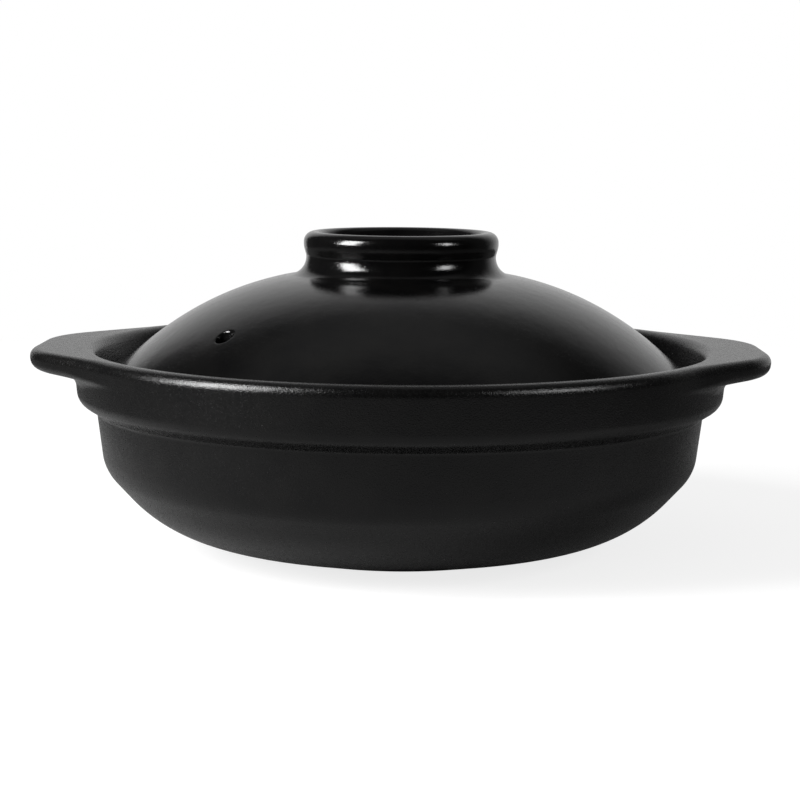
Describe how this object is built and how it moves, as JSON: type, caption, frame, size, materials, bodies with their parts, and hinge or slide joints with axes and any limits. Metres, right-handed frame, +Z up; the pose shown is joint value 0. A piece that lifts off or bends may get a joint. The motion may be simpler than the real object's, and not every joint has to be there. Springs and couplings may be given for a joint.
{
  "type": "clay casserole pot",
  "caption": "Shallow round clay casserole in satin black glaze, with a stepped collar, flat side ears, and a domed lift-off lid with a ring knob and a steam vent.",
  "frame": {"origin": "middle of the flat foot, on the surface that the pot stands on", "axes": "+Z up through the knob, +X out through the right ear"},
  "size_m": [0.2948, 0.2612, 0.1264],
  "materials": {
    "black_glaze": "satin black glaze with a fine grain"
  },
  "bodies": {
    "bowl": {"pot_bowl": "black_glaze", "left_ear": "black_glaze", "right_ear": "black_glaze"},
    "lid": {"lid_dome": "black_glaze", "lid_knob_ring": "black_glaze"}
  },
  "joints": [
    {"name": "lid_lift", "type": "slide", "parent": "bowl", "child": "lid", "axis": [0, 0, 1], "range_m": [0, 0.15]}
  ]
}
